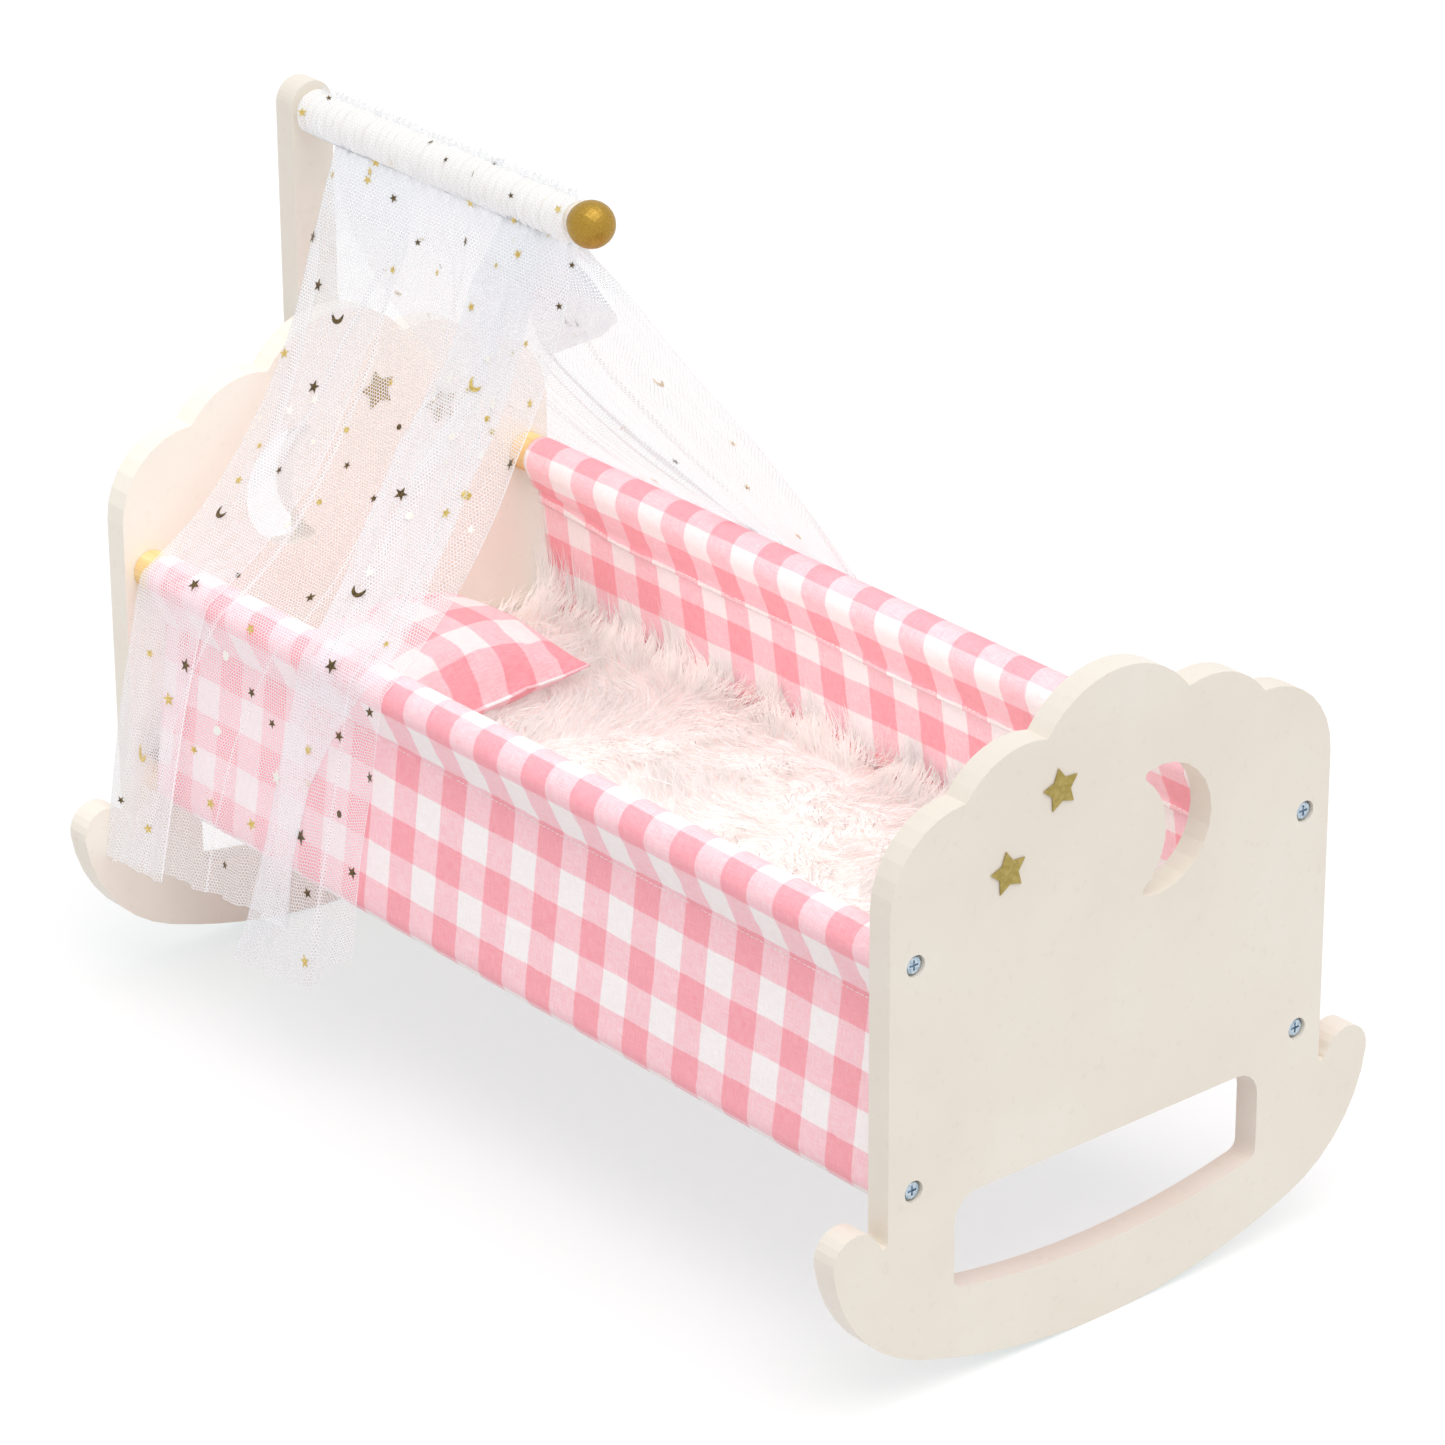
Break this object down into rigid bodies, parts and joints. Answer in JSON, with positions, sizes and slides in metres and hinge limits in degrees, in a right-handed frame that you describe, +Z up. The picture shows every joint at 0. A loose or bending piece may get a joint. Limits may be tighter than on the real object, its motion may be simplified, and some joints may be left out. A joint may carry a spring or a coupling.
{
  "type": "doll cot",
  "caption": "Rocking doll cot with cloud-topped end panels, a cloth sling between rails, a fur mat, a pillow, and a net canopy over a rod.",
  "frame": {"origin": "on the floor, under the middle of the cot's bounding box", "axes": "+X from the head to the foot, +Y to the far side, +Z up"},
  "size_m": [0.537, 0.2968, 0.398],
  "materials": {
    "cream_paint": "smooth satin cream paint on board",
    "gold_paint": "satin gold paint on a turned ball",
    "gold_foil": "dull gold, flat",
    "bare_wood": "bare pale dowel",
    "zinc": "blue zinc plate",
    "gingham": "woven pink and white check",
    "white_fur": "long-pile white plush",
    "white_net": "white tulle with small foil stars and moons",
    "hardboard": "bare hardboard"
  },
  "bodies": {
    "root": {"footboard": "cream_paint", "headboard": "cream_paint", "canopy_post": "cream_paint", "canopy_rod": "cream_paint", "rod_ball": "gold_paint", "upper_rail_near": "bare_wood", "upper_rail_far": "bare_wood", "lower_rail_near": "bare_wood", "lower_rail_far": "bare_wood", "gingham_sling": "gingham", "pillow": "gingham", "fur_mat": "white_fur", "canopy_net": "white_net", "base_board": "hardboard", "foot_star_upper": "gold_foil", "foot_star_lower": "gold_foil", "head_star_upper": "gold_foil", "head_star_lower": "gold_foil", "foot_screw_lower_near": "zinc", "foot_screw_lower_far": "zinc", "foot_screw_upper_near": "zinc", "foot_screw_upper_far": "zinc", "head_screw_lower_near": "zinc", "head_screw_lower_far": "zinc", "head_screw_upper_near": "zinc", "head_screw_upper_far": "zinc", "post_screw_upper": "zinc", "post_screw_lower": "zinc", "rod_screw": "zinc"}
  },
  "joints": []
}
